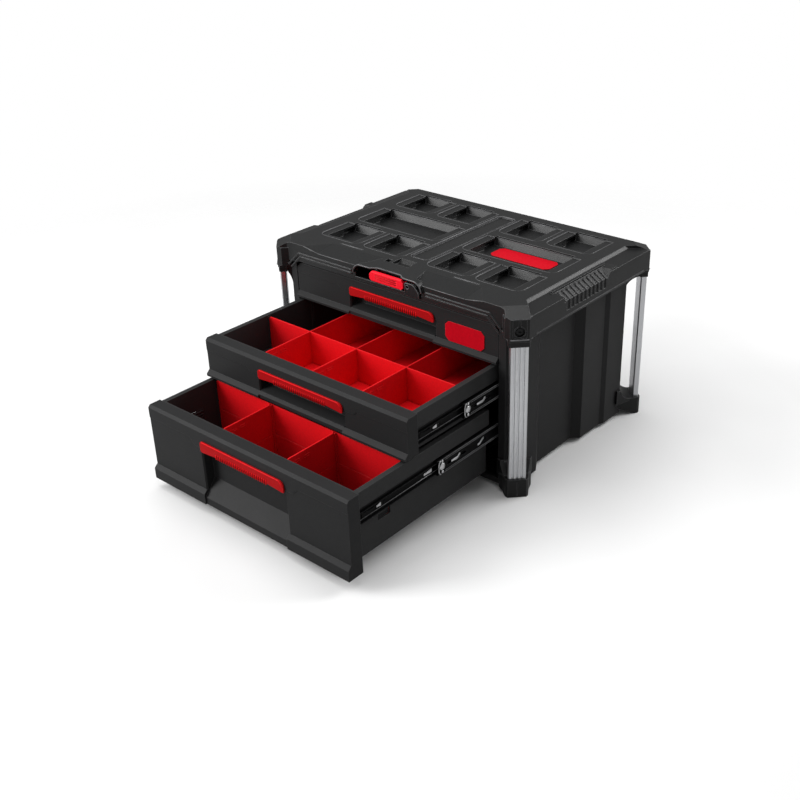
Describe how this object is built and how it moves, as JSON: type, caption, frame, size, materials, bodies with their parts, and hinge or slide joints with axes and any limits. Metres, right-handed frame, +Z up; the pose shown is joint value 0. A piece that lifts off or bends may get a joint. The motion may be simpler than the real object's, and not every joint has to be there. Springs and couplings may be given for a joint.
{
  "type": "drawer tool box",
  "caption": "Stackable tool box with drawers on telescoping ball bearing slides, divided trays, corner posts, a spring latch and a deck with recesses for the box above.",
  "frame": {"origin": "centre of the bottom of the whole box as it stands at rest, on the floor plane under its feet", "axes": "+X to the right seen from the front, +Y to the back, +Z up; the drawers open towards -Y"},
  "size_m": [0.564, 0.746, 0.335],
  "materials": {
    "bright_steel": "plain",
    "case_plastic": "moulded, fine grain",
    "cover_plastic": "moulded, fine grain",
    "divider_plastic": "moulded sheet",
    "drawer_plastic": "moulded, fine grain",
    "latch_plastic": "moulded, satin",
    "lever_plastic": "moulded, smooth",
    "plate_red": "printed plate, bare",
    "post_metal": "extruded, brushed along",
    "rail_bright": "zinc plated sheet",
    "rail_metal": "black coated sheet",
    "red_plastic": "moulded, satin",
    "screw_metal": "black oxide"
  },
  "bodies": {
    "case": {"top_cover": "cover_plastic", "case_shell": "case_plastic", "slide_panel_right": "case_plastic", "slide_panel_left": "case_plastic", "post_front_right": "post_metal", "post_front_left": "post_metal", "post_rear_right": "post_metal", "post_rear_left": "post_metal", "foot_front_right": "cover_plastic", "foot_front_left": "cover_plastic", "foot_rear_right": "cover_plastic", "foot_rear_left": "cover_plastic", "corner_screws": "screw_metal", "padlock_eye": "bright_steel", "latch_pin": "bright_steel", "deck_plate": "plate_red", "outer_rails_top": "rail_metal", "outer_rails_middle": "rail_metal", "outer_rails_bottom": "rail_metal"},
    "latch": {"latch_lever": "latch_plastic", "lock_tongue": "bright_steel", "latch_spring": "bright_steel"},
    "top_drawer": {"tray_top": "drawer_plastic", "drawer_front_top": "drawer_plastic", "pull_strip_top": "red_plastic", "inner_rails_top": "rail_metal", "release_levers_top": "lever_plastic", "front_plate": "plate_red"},
    "top_middle_rails": {"middle_rails_top": "rail_metal"},
    "top_outer_cages": {"outer_ball_cages_top": "rail_bright"},
    "top_inner_cages": {"inner_ball_cages_top": "rail_bright"},
    "middle_drawer": {"tray_middle": "drawer_plastic", "drawer_front_middle": "drawer_plastic", "pull_strip_middle": "red_plastic", "inner_rails_middle": "rail_metal", "release_levers_middle": "lever_plastic", "long_divider_middle": "divider_plastic", "cross_divider_middle_1": "divider_plastic", "cross_divider_middle_2": "divider_plastic", "cross_divider_middle_3": "divider_plastic"},
    "middle_middle_rails": {"middle_rails_middle": "rail_metal"},
    "middle_outer_cages": {"outer_ball_cages_middle": "rail_bright"},
    "middle_inner_cages": {"inner_ball_cages_middle": "rail_bright"},
    "bottom_drawer": {"tray_bottom": "drawer_plastic", "drawer_front_bottom": "drawer_plastic", "pull_strip_bottom": "red_plastic", "inner_rails_bottom": "rail_metal", "release_levers_bottom": "lever_plastic", "long_divider_bottom": "divider_plastic", "cross_divider_bottom_1": "divider_plastic", "cross_divider_bottom_2": "divider_plastic"},
    "bottom_middle_rails": {"middle_rails_bottom": "rail_metal"},
    "bottom_outer_cages": {"outer_ball_cages_bottom": "rail_bright"},
    "bottom_inner_cages": {"inner_ball_cages_bottom": "rail_bright"}
  },
  "joints": [
    {"name": "top_drawer_slide", "type": "slide", "parent": "case", "child": "top_drawer", "axis": [0, -1, 0], "range_m": [0, 0.35]},
    {"name": "top_middle_rails_slide", "type": "slide", "parent": "case", "child": "top_middle_rails", "axis": [0, -1, 0], "range_m": [0, 0.175]},
    {"name": "top_outer_cages_slide", "type": "slide", "parent": "case", "child": "top_outer_cages", "axis": [0, -1, 0], "range_m": [0, 0.0875]},
    {"name": "top_inner_cages_slide", "type": "slide", "parent": "case", "child": "top_inner_cages", "axis": [0, -1, 0], "range_m": [0, 0.2625]},
    {"name": "middle_drawer_slide", "type": "slide", "parent": "case", "child": "middle_drawer", "axis": [0, -1, 0], "range_m": [-0.22, 0.13]},
    {"name": "middle_middle_rails_slide", "type": "slide", "parent": "case", "child": "middle_middle_rails", "axis": [0, -1, 0], "range_m": [-0.11, 0.065]},
    {"name": "middle_outer_cages_slide", "type": "slide", "parent": "case", "child": "middle_outer_cages", "axis": [0, -1, 0], "range_m": [-0.055, 0.0325]},
    {"name": "middle_inner_cages_slide", "type": "slide", "parent": "case", "child": "middle_inner_cages", "axis": [0, -1, 0], "range_m": [-0.165, 0.0975]},
    {"name": "bottom_drawer_slide", "type": "slide", "parent": "case", "child": "bottom_drawer", "axis": [0, -1, 0], "range_m": [-0.35, 0]},
    {"name": "bottom_middle_rails_slide", "type": "slide", "parent": "case", "child": "bottom_middle_rails", "axis": [0, -1, 0], "range_m": [-0.175, 0]},
    {"name": "bottom_outer_cages_slide", "type": "slide", "parent": "case", "child": "bottom_outer_cages", "axis": [0, -1, 0], "range_m": [-0.0875, 0]},
    {"name": "bottom_inner_cages_slide", "type": "slide", "parent": "case", "child": "bottom_inner_cages", "axis": [0, -1, 0], "range_m": [-0.2625, 0]},
    {"name": "latch_pivot", "type": "hinge", "parent": "case", "child": "latch", "pos_m": [0, -0.017, 0.32], "axis": [-1, 0, 0], "range_deg": [0, 12], "stiffness_Nm_per_rad": 0.4, "springref_deg": -11.46}
  ],
  "couplings": [
    {"joint": "top_middle_rails_slide", "follows": "top_drawer_slide", "ratio": 0.5},
    {"joint": "top_outer_cages_slide", "follows": "top_drawer_slide", "ratio": 0.25},
    {"joint": "top_inner_cages_slide", "follows": "top_drawer_slide", "ratio": 0.75},
    {"joint": "middle_middle_rails_slide", "follows": "middle_drawer_slide", "ratio": 0.5},
    {"joint": "middle_outer_cages_slide", "follows": "middle_drawer_slide", "ratio": 0.25},
    {"joint": "middle_inner_cages_slide", "follows": "middle_drawer_slide", "ratio": 0.75},
    {"joint": "bottom_middle_rails_slide", "follows": "bottom_drawer_slide", "ratio": 0.5},
    {"joint": "bottom_outer_cages_slide", "follows": "bottom_drawer_slide", "ratio": 0.25},
    {"joint": "bottom_inner_cages_slide", "follows": "bottom_drawer_slide", "ratio": 0.75}
  ]
}
